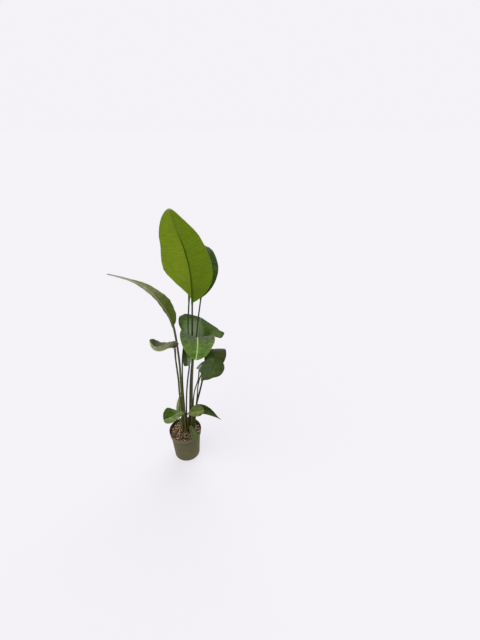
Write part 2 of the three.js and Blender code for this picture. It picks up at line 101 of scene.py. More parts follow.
# %% Leaf rows
LEAVES = {
    "leaf_tall_front": dict(
        foot=(16, -1), radii=(6, 4.3, 3.2), faces=((0, 1, 0), (0, 1, 0.1), (0, 1, 0.2)),
        stalk=((23, 0, 215), (39, 0, 320), (51, 0, 441), (59, 0, 551), (67, 0, 659), (74, 0, 763),
               (79, 0, 841)),
        midrib=((82, -5, 897), (82, -11, 964), (76, -17, 1021), (65, -24, 1078), (50, -31, 1126),
                (40, -38, 1166), (33, -44, 1207)),
        half=(83, 97), belly=(0.36, 0.4), base=(0.7, 1.8), tip=(0.66, 0.62), fold=(8, 12), curl=14,
        wave=(3, 4), waves=3),
    "leaf_tall_back": dict(
        foot=(20, 12), radii=(5.4, 3.8, 2.8), faces=((0, -1, 0), (0, -0.9, 0.4), (0, -0.2, 1)),
        stalk=((25, 12, 203), (32, 12, 312), (42, 13, 430), (54, 15, 524), (68, 19, 595), (82, 24, 668),
               (94, 34, 753), (108, 46, 838)),
        midrib=((112, 66, 882), (108, 105, 932), (96, 152, 972), (78, 202, 992), (60, 250, 996)),
        half=(78, 71), belly=(0.36, 0.42), base=(0.5, 0.85), tip=(0.7, 0.75), fold=16, curl=20, wave=3,
        waves=3),
    "leaf_new_rolled": dict(
        foot=(7, 15), radii=(4.8, 3.4, 3), faces=((0, 1, 0), (0, 1, 0), (0, 1, 0)),
        stalk=((7, 16, 199), (12, 17, 276), (21, 17, 374), (32, 18, 455), (43, 20, 520), (49, 22, 582),
               (51, 23, 648), (51, 24, 716), (62, 27, 826)),
        midrib=((70, 28, 900), (77, 30, 990), (80, 32, 1060), (80, 34, 1120)),
        rolled=8),
    "leaf_arching_left": dict(
        foot=(3, -5), radii=(6.4, 6.6, 5.2), faces=((1, 0, 0), (0.85, -0.3, 0.4), (0.1, -0.35, 0.95)),
        stalk=((2, -2, 211), (2, -1, 312), (2, 0, 389), (4, 0, 470), (6, -1, 541), (5, 0, 598),
               (2, 0, 673), (-4, 0, 736)),
        midrib=((-18, -5, 793), (-36, -8, 835), (-72, -12, 892), (-101, -14, 919), (-141, -16, 942),
                (-183, -18, 956), (-222, -20, 967)),
        half=(36, 49), belly=(0.28, 0.15), base=(0.6, 0.4), tip=(1.2, 2.6), fold=(36, 6), curl=6,
        wave=(2, 3), waves=3, tip_half=4.5),
    "leaf_curled_left": dict(
        foot=(-10, -6), radii=(5.6, 5.8, 4.4), faces=((1, 0, 0), (0.2, 0.35, 0.9), (1, 0.3, 0.1)),
        stalk=((-6, -11, 220), (-4, -14, 324), (-5, -15, 397), (-3, -16, 472), (-4, -17, 532),
               (-5, -18, 591), (-5, -20, 642)),
        midrib=((-13, -28, 653), (-28, -38, 656), (-44, -47, 652), (-60, -54, 652), (-78, -60, 662),
                (-88, -62, 682), (-90, -60, 708)),
        half=(44, 46), belly=(0.28, 0.65), base=(0.4, 0.8), tip=(1.1, 0.45), fold=(54, 40), wave=3,
        waves=2),
    "leaf_middle_front": dict(
        foot=(29, -4), radii=(5.8, 4, 3), faces=((0, 1, 0), (0, 0.7, 0.7), (0, -0.3, 1)),
        stalk=((36, -6, 222), (45, -9, 332), (54, -10, 450), (62, -10, 532), (71, -9, 605),
               (82, -12, 657)),
        midrib=((89, -24, 686), (96, -46, 710), (101, -76, 718), (104, -108, 714), (104, -138, 704),
                (102, -165, 688)),
        half=(67, 74), belly=(0.48, 0.5), base=(0.5, 0.6), tip=0.52, fold=(12, 18), curl=(16, -16),
        wave=3, waves=3),
    "leaf_middle_back": dict(
        foot=(31, 21), radii=(4.8, 4.2, 3.4), faces=((0, -1, 0), (0.1, -0.8, 0.6), (0.3, 0.4, 0.85)),
        stalk=((40, 24, 191), (61, 28, 297), (78, 32, 364), (94, 34, 430), (107, 36, 497),
               (112, 38, 555), (107, 48, 606), (91, 60, 642)),
        midrib=((90, 78, 666), (89, 108, 680), (87, 152, 680), (84, 200, 661), (80, 240, 630)),
        half=(94, 118), belly=(0.4, 0.26), base=(0.45, 0.2), tip=(0.7, 0.65), fold=(2, -14),
        curl=(14, 8), wave=4, waves=3, lobe=(44, 50)),
    "leaf_middle_drooping": dict(
        foot=(-6, 8), radii=(4.8, 3.4, 2.8), faces=((0, -1, 0), (0, -0.2, 1), (0.2, -1, 0.1)),
        stalk=((1, 9, 206), (5, 10, 302), (6, 10, 380), (9, 11, 460), (14, 11, 527), (21, 11, 590),
               (31, 10, 636)),
        midrib=((37, 4, 637), (40, -4, 617), (40, -9, 578), (38, -12, 545)),
        half=18, belly=0.5, base=0.5, tip=0.16, fold=14, wave=1, waves=2),
    "leaf_right_front": dict(
        foot=(32, 9), radii=(4.8, 4, 3.4), faces=((-1, 0, 0), (-0.3, -0.5, 0.8), (0.1, -0.6, 0.8)),
        stalk=((39, 9, 206), (45, 9, 284), (50, 9, 339), (58, 9, 387), (69, 8, 423), (80, 6, 459),
               (88, 1, 511)),
        midrib=((99, -6, 532), (116, -14, 541), (140, -23, 545), (164, -31, 541), (188, -38, 524)),
        half=(46, 62), belly=(0.62, 0.3), base=(1.3, 0.4), tip=(0.35, 0.5), fold=(10, 6), curl=10,
        wave=3, waves=2, lobe=(24, 0)),
    "leaf_right_back": dict(
        foot=(42, 5), radii=(4.8, 4.2, 3.4), faces=((-1, 0, 0), (-0.2, -0.7, 0.7), (0.1, 0.5, 0.9)),
        stalk=((49, 8, 207), (59, 12, 293), (68, 15, 358), (74, 17, 410), (85, 19, 454), (103, 22, 491),
               (129, 42, 511)),
        midrib=((146, 58, 541), (149, 86, 551), (147, 118, 542), (141, 150, 514)),
        half=(46, 56), belly=0.3, base=0.5, tip=(0.9, 0.8), fold=(6, 8), curl=14, wave=2, waves=2),
    "leaf_low_left": dict(
        foot=(-22, -9), radii=(4.2, 2.8, 2.2), faces=((0, 1, 0), (-0.1, -0.3, 1), (-0.2, -0.6, 0.7)),
        stalk=((-16, -14, 190), (-10, -22, 244), (4, -31, 299)),
        midrib=((-6, -38, 302), (-25, -42, 292), (-50, -51, 283), (-81, -58, 272)),
        half=(37, 50), belly=(0.35, 0.66), base=(0.5, 2.2), tip=(0.4, 0.42), fold=(30, 4), curl=10,
        wave=1, waves=1),
    "leaf_low_upright": dict(
        foot=(-24, 5), radii=(3.6, 2.4, 2), faces=((0.5, 1, 0), (0.4, 1, 0), (0.2, 1, 0.2)),
        stalk=((-22, 6, 183), (-26, 8, 240)),
        midrib=((-23, 9, 274), (-15, 9, 327), (-6, 8, 376)),
        half=(9, 16), belly=0.2, base=0.7, tip=1.1, fold=(24, 16), waves=1),
    "leaf_low_right": dict(
        foot=(12, -16), radii=(4.2, 2.8, 2.2), faces=((-1, 0, 0), (-0.4, -0.8, 0.5), (-0.2, -0.8, 0.6)),
        stalk=((18, -17, 207), (18, -20, 249), (23, -26, 281)),
        midrib=((41, -33, 293), (63, -41, 308), (84, -48, 320), (104, -54, 328)),
        half=(30, 22), belly=0.66, base=(1.3, 0.8), tip=(0.4, 0.45), fold=(12, 8), curl=10, wave=(1, 2),
        waves=2),
    "leaf_low_far_right": dict(
        foot=(41, -8), radii=(4.2, 2.8, 2.2), faces=((-1, 0, 0), (-0.3, -0.5, 0.8), (0.4, -0.4, 0.8)),
        stalk=((46, -9, 205), (49, -10, 251), (56, -12, 290)),
        midrib=((72, -15, 301), (95, -18, 303), (117, -21, 295), (142, -25, 278), (175, -32, 251)),
        half=(21, 23), belly=(0.14, 0.2), base=(0.3, 0.5), tip=(1.4, 1.3), fold=(12, 10), curl=14,
        wave=2, waves=2),
    "leaf_low_over_rim": dict(
        foot=(23, -17), radii=(4, 2.4, 1.8), faces=((-1, 0, 0), (0.1, -0.3, 1), (0.5, -0.4, 0.8)),
        stalk=((26, -19, 179), (29, -27, 207)),
        midrib=((38, -38, 200), (47, -52, 188), (56, -63, 171), (60, -68, 153)),
        half=(14, 17), belly=0.6, base=(0.6, 0.5), tip=(0.4, 0.45), fold=12, curl=8, wave=1, waves=1),
}
print(len(LEAVES), "leaves")

# %% [markdown]
# ## A smooth line through the points
#
# Straight pieces between the points would give the stalks kinks. A centripetal
# Catmull-Rom curve passes through every point, never loops between two that lie close,
# and is only a cubic for each span. Distances along it are then measured, so that later
# steps can ask for a place by millimetres from the foot.

# %% Leaf lines
FOOT_DEPTH = 108
FOOT_STRAIGHT = 150
STEPS_PER_SPAN = 60
DIRECTION_REACH = 3
TURN_STARTS = 0.75


def smooth_line(points):
    p = np.array(points, float)
    p = np.vstack([2 * p[0] - p[1], p, 2 * p[-1] - p[-2]])
    powers = np.vander(np.arange(STEPS_PER_SPAN) / STEPS_PER_SPAN, 4, increasing=True)
    spans = []
    for a, b, c, d in zip(p, p[1:], p[2:], p[3:]):
        ab, bc, cd = (math.sqrt(math.dist(*pair)) for pair in ((a, b), (b, c), (c, d)))
        leave = bc * ((b - a) / ab - (c - a) / (ab + bc) + (c - b) / bc)
        arrive = bc * ((c - b) / bc - (d - b) / (bc + cd) + (d - c) / cd)
        cubic = np.array([b, leave, 3 * (c - b) - 2 * leave - arrive, 2 * (b - c) + leave + arrive])
        spans.append(powers @ cubic)
    return np.vstack([*spans, p[-2]])


def ease(x, low, high):
    t = np.clip((x - low) / (high - low), 0, 1)
    return t * t * (3 - 2 * t)


def mix(a, b, share):
    return a + (b - a) * share


class LeafLine:
    """A leaf's line, with its distances, and the directions across and up at any of them."""

    def __init__(self, leaf):
        x, y = leaf["foot"]
        start = [(x, y, FOOT_DEPTH), (x, y, FOOT_STRAIGHT)]
        self.places = smooth_line([*start, *leaf["stalk"], *leaf["midrib"]])
        steps = np.linalg.norm(np.diff(self.places, axis=0), axis=1)
        self.distances = np.concatenate([[0], np.cumsum(steps)])
        self.neck = self.distances[STEPS_PER_SPAN * (len(leaf["stalk"]) + 1)]
        self.tip = self.distances[-1]
        self.faces = [np.array(face, float) for face in leaf["faces"]]

    def at(self, distance):
        return np.stack([np.interp(distance, self.distances, axis) for axis in self.places.T], -1)

    def directions(self, distance):
        ahead = np.minimum(distance + DIRECTION_REACH, self.tip)
        along = self.at(ahead) - self.at(np.maximum(distance - DIRECTION_REACH, 0))
        stalk_face, base_face, tip_face = self.faces
        turn = ease(distance / self.neck, TURN_STARTS, 1)[..., None]
        blade = np.clip((distance - self.neck) / (self.tip - self.neck), 0, 1)[..., None]
        face = np.where(blade > 0, mix(base_face, tip_face, blade), mix(stalk_face, base_face, turn))
        across = np.cross(along, face)
        across /= np.linalg.norm(across, axis=-1, keepdims=True)
        up = np.cross(across, along)
        return across, up / np.linalg.norm(up, axis=-1, keepdims=True)

    def beside(self, distance, x, y):
        """The places that lie x across and y up from the line at each distance."""
        across, up = self.directions(distance)
        return self.at(distance) + x[..., None] * across + y[..., None] * up


lines = {name: LeafLine(leaf) for name, leaf in LEAVES.items()}
print("longest leaf:", round(max(line.tip for line in lines.values())), "mm from foot to tip")

# %% [markdown]
# ## The stalk's section
#
# A stalk of this plant isn't a plain rod. It is a little flatter than round, thickest in
# the sheath at its foot, and has a shallow channel down its upper side that carries rain to
# the crown. The first half of its ring of points is the upper side, from left to right, and
# the second half comes back underneath.

# %% Stalk rings
RIB_COLUMNS = 4
BLADE_COLUMNS = 14
COLUMNS = 2 * (RIB_COLUMNS + BLADE_COLUMNS) + 1
STALK_FLATNESS = 0.82
SHEATH_STARTS = 0.05
SHEATH_ENDS = 0.3
CHANNEL_DEPTH = 0.32
CHANNEL_WIDTH = 0.45


def stalk_radius(leaf, share):
    foot, middle, neck = leaf["radii"]
    sheath = mix(foot, middle, ease(share, SHEATH_STARTS, SHEATH_ENDS))
    upper = mix(middle, neck, (share - SHEATH_ENDS) / (1 - SHEATH_ENDS))
    return np.where(share < SHEATH_ENDS, sheath, upper)


def ring_angles():
    half = math.pi * (1 - (np.arange(COLUMNS) + 0.5) / COLUMNS)
    return np.concatenate([half, half - math.pi])


def stalk_section(leaf, share):
    radius = stalk_radius(leaf, share)
    angle = ring_angles()
    x = radius * np.cos(angle)
    y = STALK_FLATNESS * radius * np.sin(angle)
    channel = CHANNEL_DEPTH * radius * np.exp(-((x / (CHANNEL_WIDTH * radius)) ** 2))
    return x, np.where(angle > 0, y - channel, y)


print("a ring has", 2 * COLUMNS, "points")

# %% [markdown]
# ## The blade
#
# A plane with a picture of veins would be flat edge-on, with a dead shine. Here each row of
# points follows a side vein's way from the midrib out to the edge, sweeping a little towards
# the tip. Six rows share a vein, so the surface rises and falls between them in true
# geometry. The rows crowd together at the base and at the tip, where the outline turns
# fastest. The upper face sinks into a groove over the midrib, and the lower face carries it
# as a keel. Where a half has a lobe, its rows fan backwards past the neck. In the sums, s
# runs from the neck to the tip and t from the midrib to the edge.

# %% Blade grid
VEIN_SPACING = 7
FEWEST_VEINS = 9
ROWS_PER_VEIN = 6
CROWDING = 0.62
VEIN_SWEEP = 0.13
SWEEP_STARTS = 0.2
SWEEP_BEND = 1.2
RIB_TO_NECK = 0.85
RIB_AT_TIP = 0.4
RIB_SPREAD = 1.35
HINGE_WIDTH = 1.6
EDGE_ALLOWANCE = 0.5
EDGE_THINS_FROM = 0.9
EDGE_THINNING = 0.45
TIP_HALF = 1.6
TIP_ROUNDING = 0.03
LOBE_SHARE = 0.3
LOBE_RISE = 0.045
BLADE_THICKNESS = 0.8
PLEAT_HEIGHT = 0.35
PLEAT_STARTS = 0.12
RUFFLE_HEIGHT = 0.9
RUFFLES = 11
RUFFLE_SHIFT = 1.7
KEEL_TO_NECK = 1.15
KEEL_AT_TIP = 0.2
KEEL_ROUNDNESS = 0.8
GROOVE_TO_RIB = 0.4
GROOVE_WIDTH = 0.7


def outline(s, belly, base, tip):
    shoulder = np.sin(np.pi / 2 * np.clip(s / belly, 0, 1)) ** base
    taper = np.cos(np.pi / 2 * np.clip((s - belly) / (1 - belly), 0, 1)) ** tip
    return np.where(s < belly, shoulder, taper)


def lobe_offset(line, lobe, start, s, t):
    """How far back each point of a lobed half lies, along the blade from tip to neck."""
    backward = line.at(line.neck) - line.at(line.tip)
    backward /= np.linalg.norm(backward)
    fading = np.clip(1 - s / LOBE_SHARE, 0, 1) ** 2
    return (lobe * ease(start, 0, LOBE_RISE) * fading * t ** 2)[..., None] * backward


def least_reach(leaf, rib, s):
    """The narrowest that a half may be: past its midrib, and rounded at the very tip."""
    end = np.clip((s - 1 + TIP_ROUNDING) / TIP_ROUNDING, 0, 0.99)
    tip_half = leaf.get("tip_half", TIP_HALF) * np.sqrt(1 - end ** 2)
    return np.maximum(RIB_SPREAD * rib + EDGE_ALLOWANCE, rib + tip_half - RIB_AT_TIP)


def row_steps():
    """Each column's step over the blade and over the rib, both 0 in the middle and 1 outside."""
    outward = np.arange(1, BLADE_COLUMNS + 1) / BLADE_COLUMNS
    outward = mix(outward, np.sin(np.pi / 2 * outward), 0.5)
    rib = np.arange(1, RIB_COLUMNS + 1) / RIB_COLUMNS
    edge = np.ones(BLADE_COLUMNS)
    over_blade = np.concatenate([outward[::-1], np.zeros(2 * RIB_COLUMNS + 1), outward])
    return over_blade, np.concatenate([edge, rib[::-1], [0], rib, edge])


def blade_grid(leaf, line):
    """The blade's two faces and the marks of their points, row by row."""
    veins = max(round((line.tip - line.neck) / VEIN_SPACING), FEWEST_VEINS)
    phase = np.arange(ROWS_PER_VEIN * veins + 1)[:, None] / ROWS_PER_VEIN
    even = np.arange(ROWS_PER_VEIN * veins + 1)[:, None] / (ROWS_PER_VEIN * veins)
    start = even - CROWDING * np.sin(2 * np.pi * even) / (2 * np.pi)
    blade_step, rib_step = row_steps()
    sign = np.sign(np.arange(COLUMNS) - COLUMNS // 2)

    s = start + VEIN_SWEEP * ease(start, 0, SWEEP_STARTS) * (1 - start) * blade_step ** SWEEP_BEND
    own = {}
    for key in ("half", "belly", "base", "tip", "fold", "curl", "wave", "lobe"):
        left, right = np.broadcast_to(leaf.get(key, 0), 2)
        own[key] = np.where(sign < 0, left, right)
    shape = outline(s, own["belly"], own["base"], own["tip"])
    rib = mix(leaf["radii"][2] * RIB_TO_NECK, RIB_AT_TIP, s)
    spread = RIB_SPREAD * rib
    reach = np.maximum(own["half"] * shape, least_reach(leaf, rib, s))
    away = np.where(blade_step > 0, mix(spread, reach, blade_step), spread * rib_step)
    t = np.clip((away - rib) / (reach - rib), 0, 1)

    raised = np.radians(own["fold"] - own["curl"] * t / 2) * ease(away, 0, HINGE_WIDTH * rib)
    late = 2 * (sign > 0)
    wave = own["wave"] * shape * np.sin(2 * np.pi * leaf["waves"] * s + late) * t ** 2
    ruffle = RUFFLE_HEIGHT * shape * np.sin(2 * np.pi * RUFFLES * s + RUFFLE_SHIFT * sign) * t ** 5
    distance = mix(line.neck, line.tip, np.clip(s, 0, 1))
    height = away * np.sin(raised) + wave + ruffle
    middle = line.beside(distance, sign * away * np.cos(raised), height)
    middle += lobe_offset(line, own["lobe"], start, s, t)

    normal = np.cross(np.gradient(middle, axis=1), np.gradient(middle, axis=0))
    normal /= np.linalg.norm(normal, axis=-1, keepdims=True)
    calm = ease(t, 0, PLEAT_STARTS) * (1 - 0.5 * t) * ease(shape, 0.1, 0.5)
    pleat = PLEAT_HEIGHT * calm * np.cos(2 * np.pi * phase)
    middle = middle + normal * pleat[..., None]

    thick = BLADE_THICKNESS * (1 - EDGE_THINNING * ease(t, EDGE_THINS_FROM, 1)) / 2
    groove = GROOVE_TO_RIB * rib * np.exp(-((away / (GROOVE_WIDTH * rib)) ** 2))
    keel_depth = mix(leaf["radii"][2] * KEEL_TO_NECK, KEEL_AT_TIP, s)
    keel = keel_depth * np.clip(1 - (away / spread) ** 2, 0, 1) ** KEEL_ROUNDNESS
    upper = middle + normal * (thick - groove)[..., None]
    lower = middle - normal * (thick + keel)[..., None]
    marks = {"along": s, "across": sign * away / reach, "vein": phase + 0 * s, "rib_gap": away}
    return upper, lower, marks


# %% [markdown]
# ## One closed skin for a whole leaf
#
# The stalk's rings and the blade's rows have the same number of points, so one skin can run
# from the foot in the mix to the tip. Over the last stretch below the blade each stalk ring
# melts into the blade's first one, which hides the join. Every point also remembers where on
# the leaf it is: how far along, how far across, which vein is nearest, how far from the
# midrib and on which face. The materials paint with those numbers instead of a picture.

# %% Leaf skin
STALK_STEP = 9
NECK_STEP = 1.5
NECK_BLEND = 16
SHARP_EDGE = 62


def around(upper, lower):
    """Upper face from left to right, then the lower face back, as one ring per row."""
    return np.concatenate([upper, lower[:, ::-1]], axis=1)


def stalk_rings(leaf, line, first_row=None):
    """The stalk's marks along, from -1 to 0, and its rings, which melt into the blade's row."""
    melt_from = line.neck - NECK_BLEND
    stations = [np.arange(0, melt_from, STALK_STEP), np.arange(melt_from, line.neck, NECK_STEP)]
    distance = np.concatenate(stations)[:, None]
    x, y = stalk_section(leaf, distance / line.neck)
    if first_row is not None:
        away = first_row - line.at(line.neck)
        across, up = line.directions(line.neck)
        melt = ease(distance, melt_from, line.neck)
        x, y = mix(x, away @ across, melt), mix(y, away @ up, melt)
    return distance / line.neck - 1, line.beside(distance, x, y)


def open_leaf(leaf, line):
    """The rings of a leaf with an open blade, and the marks of their points."""
    upper, lower, on_blade = blade_grid(leaf, line)
    blade = around(upper, lower)
    up_stalk, stalk = stalk_rings(leaf, line, blade[0])
    none = np.zeros(stalk.shape[:2])
    marks = {}
    for mark, values in on_blade.items():
        marks[mark] = np.vstack([up_stalk + none if mark == "along" else none, around(values, values)])
    marks["upper_face"] = np.repeat([1, 0], COLUMNS)
    return np.vstack([stalk, blade]), marks


def skin(name, rings, marks):
    """A closed mesh through the rings, in metres, with each mark stored on its points."""
    count, width = rings.shape[:2]
    index = np.arange(count * width).reshape(count, width)
    beside = np.roll(index, -1, axis=1)
    sides = np.stack([index[:-1], beside[:-1], beside[1:], index[1:]], -1).reshape(-1, 4)
    half = width // 2
    caps = []
    for ring, outward in ((index[0], False), (index[-1], True)):
        top, bottom = ring[:half], ring[half:][::-1]
        cap = np.stack([top[:-1], bottom[:-1], bottom[1:], top[1:]], -1)
        caps.append(cap[:, ::-1] if outward else cap)
    faces = np.vstack([sides, *caps])
    mesh = bpy.data.meshes.new(name)
    mesh.from_pydata((rings.reshape(-1, 3) * MM).tolist(), [], faces.tolist())
    for mark, values in marks.items():
        layer = mesh.attributes.new(mark, "FLOAT", "POINT")
        everywhere = np.broadcast_to(values, (count, width)).astype(np.float32)
        layer.data.foreach_set("value", everywhere.ravel())
    mesh.shade_smooth()
    mesh.set_sharp_from_angle(angle=math.radians(SHARP_EDGE))
    return put(name, mesh)


# %% [markdown]
# ## The leaf that is still rolled
#
# A new leaf comes up as a spear, rolled round itself like a sheet of paper. Its ring is a
# circle whose radius steps down once a turn: that step is the free edge of the roll, and it
# winds slowly round the spear on its way up.

# %% Rolled leaf
ROLL_STEP = 0.22
ROLL_TURN = 2.4
ROLL_STARTS = 0.15
SPEAR_STEP = 3
SPEAR_BELLY = 0.4
SPEAR_TAPER = (0.3, 0, 0.7)
SPEAR_LEAST = 0.6
SPEAR_VEINS = 6
WINDING_VEINS = 9
FAR_FROM_RIB = 99


def rolled_leaf(leaf, line):
    """The rings of a leaf that hasn't opened, and the marks of their points."""
    up_stalk, stalk = stalk_rings(leaf, line)
    spear = np.arange(line.neck, line.tip, SPEAR_STEP)[:, None]
    s = (spear - line.neck) / (line.tip - line.neck)
    swell = mix(leaf["radii"][2], leaf["rolled"], outline(s, SPEAR_BELLY, 1, 1))
    angle = ring_angles()
    turn = (angle / (2 * np.pi) + ROLL_TURN * s) % 1
    radius = np.maximum(swell * outline(s, *SPEAR_TAPER), SPEAR_LEAST)
    radius = radius * (1 - ROLL_STEP * ease(s, 0, ROLL_STARTS) * turn)
    flatness = mix(STALK_FLATNESS, 1, ease(s, 0, 0.1))
    rings = line.beside(spear, radius * np.cos(angle), flatness * radius * np.sin(angle))
    along = np.vstack([up_stalk, s])
    winding = np.vstack([0 * stalk[..., 0], turn * WINDING_VEINS])
    marks = {
        "along": along, "across": 0, "vein": np.maximum(along, 0) * SPEAR_VEINS + winding,
        "rib_gap": FAR_FROM_RIB * (along > 0), "upper_face": 0,
    }
    return np.vstack([stalk, rings]), marks


leaves = {}
for name, leaf in LEAVES.items():
    make = rolled_leaf if "rolled" in leaf else open_leaf
    leaves[name] = skin(name.removeprefix("leaf_") + "_leaf", *make(leaf, lines[name]))
faces_made = sum(len(piece.data.polygons) for piece in leaves.values())
print(len(leaves), "leaves with", faces_made, "faces")

# %% [markdown]
# ## Sums that become nodes
#
# A material is a graph, but a sum is easier to read than a graph. The class below wraps a
# socket, so that writing 1 - mask or a * b adds the Math node for it. Everything that isn't
# a sum comes from one function that takes the node's type, its inputs and its settings. A
# node given as an input stands for its first output in use. Colours are linear, in
# thousandths.

# %% Shader sums
def set_inputs(tree, node, inputs):
    for key, value in inputs.items():
        value = getattr(value, "socket", value)
        if isinstance(value, bpy.types.Node):
            value = next(output for output in value.outputs if output.enabled)
        if isinstance(value, bpy.types.NodeSocket):
            tree.links.new(value, node.inputs[key])
        else:
            node.inputs[key].default_value = value


def add_node(tree, kind, inputs=None, **settings):
    node = tree.nodes.new(kind)
    for key, value in settings.items():
        setattr(node, key, value)
    set_inputs(tree, node, inputs or {})
    return node


class Amount:
    """A number that varies over a surface. Python's operators add Math nodes to it."""

    def __init__(self, finish, socket):
        self.finish, self.socket = finish, socket

    def math(self, operation, a, b=0.0, clamp=False):
        node = self.finish.node("Math", {0: a, 1: b}, operation=operation, use_clamp=clamp)
        return Amount(self.finish, node)

    def __add__(self, other):
        return self.math("ADD", self, other)

    def __sub__(self, other):
        return self.math("SUBTRACT", self, other)

    def __rsub__(self, other):
        return self.math("SUBTRACT", other, self)

    def __mul__(self, other):
        return self.math("MULTIPLY", self, other)

    def __truediv__(self, other):
        return self.math("DIVIDE", self, other)

    __radd__ = __add__
    __rmul__ = __mul__

    def size(self):
        return self.math("ABSOLUTE", self)

    def root(self):
        return self.math("SQRT", self)

    def clamped(self):
        return self.math("ADD", self, clamp=True)

    def ripple(self):
        """1 at every whole number and 0 halfway between."""
        return self.math("COSINE", self * (2 * math.pi)) * 0.5 + 0.5

    def rise(self, low, high):
        """0 below low, 1 above high and smooth between."""
        inputs = {"Value": self, "From Min": low, "From Max": high}
        return Amount(self.finish, self.finish.node("MapRange", inputs, interpolation_type="SMOOTHSTEP"))


def rgba(colour):
    return (*(part / 1000 for part in colour), 1)


class Finish:
    """A material under construction."""

    def __init__(self, name):
        self.material = bpy.data.materials.new(name)
        self.material.use_nodes = True
        self.tree = self.material.node_tree
        self.tree.nodes.clear()

    def node(self, kind, inputs=None, **settings):
        return add_node(self.tree, "ShaderNode" + kind, inputs, **settings)

    def mark(self, name):
        return Amount(self, self.node("Attribute", attribute_name=name).outputs["Fac"])

    def grain(self, scale, detail, stretch=(1, 1, 1)):
        """Noise in the object's own space, scale times a metre, between 0 and 1."""
        place = self.node("TexCoord").outputs["Object"]
        mapping = self.node("Mapping", {"Vector": place, "Scale": stretch})
        return Amount(self, self.node("TexNoise", {"Vector": mapping, "Scale": scale, "Detail": detail}))

    def streak(self, place, scale, detail):
        """Noise along one number, between 0 and 1."""
        inputs = {"W": place, "Scale": scale, "Detail": detail}
        return Amount(self, self.node("TexNoise", inputs, noise_dimensions="1D"))

    def place(self):
        """The height and the distance from the upright axis of each point, in millimetres."""
        parts = self.node("SeparateXYZ", {0: self.node("TexCoord").outputs["Object"]})
        x, y, z = (Amount(self, output) / MM for output in parts.outputs)
        return z, (x * x + y * y).root()

    def blend(self, a, b, share, how="MIX"):
        """Colour a turning into colour b where share is 1."""
        a, b = [rgba(c) if isinstance(c, tuple) else c for c in (a, b)]
        return self.node("Mix", {0: share, 6: a, 7: b}, data_type="RGBA", blend_type=how)

    def shade(self, colour, *shades):
        """Multiplies a colour by each tint in turn, by its share."""
        for tint, share in shades:
            colour = self.blend(colour, tint, share, "MULTIPLY")
        return colour

    def body(self, colour, rough, shine, height, strength, depth):
        """A surface with relief from a height between 0 and 1, depth metres deep."""
        normal = self.node("Bump", {"Height": height, "Strength": strength, "Distance": depth})
        return self.node("BsdfPrincipled", {
            "Base Color": colour, "Roughness": rough, "Specular IOR Level": shine, "Normal": normal})

    def surface(self, shader):
        self.node("OutputMaterial", {"Surface": shader})
        return self.material


# %% [markdown]
# ## What a leaf is made of
#
# A living leaf sends back a little green light, lets some through as a yellower green and
# has a waxy skin that shines. A Principled shader gives the first and the last, and a
# Translucent one mixed into it gives the glow of a blade with the light behind it. The
# midrib and the stalk let nothing through. Each leaf has its own age and its own side to
# the light, so each has a row of its own. There, upper and under are one colour or a pair,
# (left half, right half), and far is what both turn into along the blade. Where the two
# halves of a pair differ, that is mostly painted light and shade: one half is painted
# lighter for the light or sheen on it, the other darker for its shade. Patches are soft
# marks, each with its place, half size and share: the browning of age, grey wax with a
# painted sheen on it, and painted shadows and highlights. rib_end says how far up the
# midrib can be seen, and tip_zone where the tip turns another colour: a dry tip, and on
# the curled leaf painted shade in its curl.

# %% Leaf colours
VEIN_SHADE = (660, 720, 600)
BAND_SHADE = (720, 780, 700)
PATCH_LIGHT = (1250, 1180, 1200)
FRECKLE_DARK = (500, 560, 480)
FRECKLE_LIGHT = (1500, 1400, 1600)
STALK_TOP = (880, 1020, 950)
STREAK_SHADE = (500, 500, 500)
STREAK_LIGHT = (1600, 1600, 1500)
DUST = (350, 350, 240)
BAND_SCALE = 1.3
PATCH_SCALE = 9
FRECKLE_SCALE = 75
SPECKLE_SCALE = 260
STREAK_SCALE = 30
FINE_VEINS = 5
OTHER_HALF = 41
SIDE_FADE = 0.05
NECK_FADE = 0.012
RIB_FADE = 0.25
TIP_FADE = 0.3
RIB_EDGE = (0.5, 1.4)
MARGIN_FULL = 0.99
FOOT_ZONE = (-0.97, -0.75)
TOP_ZONE = (-0.6, -0.25)
SPECK_DEPTH = 0.0005


def leaf_marks(f):
    """The numbers on the mesh, and the shares that every part of a leaf is mixed by."""
    names = ("along", "across", "vein", "rib_gap", "upper_face")
    m = SimpleNamespace(**{name: f.mark(name) for name in names})
    m.in_blade = m.along.rise(-NECK_FADE, NECK_FADE)
    m.on_stalk = 1 - m.in_blade
    m.side = m.across.rise(-SIDE_FADE, SIDE_FADE)
    m.stripe = m.vein.ripple()
    m.fine = (m.vein * FINE_VEINS).ripple()
    m.band = f.streak(m.vein + m.side * OTHER_HALF, BAND_SCALE, 2)
    m.patches = f.grain(PATCH_SCALE, 4)
    m.mottle = m.patches.rise(0.25, 0.6) * 0.5 + 0.5
    m.freckle = f.grain(FRECKLE_SCALE, 3)
    m.speckle = f.grain(SPECKLE_SCALE, 2)
    m.streaks = f.grain(STREAK_SCALE, 3, stretch=(9, 9, 0.5))
    return m


def midrib_share(m, width, end):
    near = 1 - m.rib_gap.rise(*(share * width for share in RIB_EDGE))
    return near * m.in_blade * (1 - m.along.rise(end - RIB_FADE, end))


def patch_share(m, place, size, share):
    """A soft patch round a place (along, across), with its half length and half width."""
    lengthways = (m.along - place[0]) * (1 / size[0])
    sideways = (m.across - place[1]) * (1 / size[1])
    inside = 1 - lengthways * lengthways - sideways * sideways
    return inside.clamped() * m.mottle * share


def halves(f, m, upper, under):
    """The colour of the four half faces, each one colour or a pair; a pair's halves differ mostly by
    painted light and shade.
    """
    pairs = [face if isinstance(face[0], tuple) else (face, face) for face in (under, upper)]
    return f.blend(*(f.blend(*pair, m.side) for pair in pairs), m.upper_face)


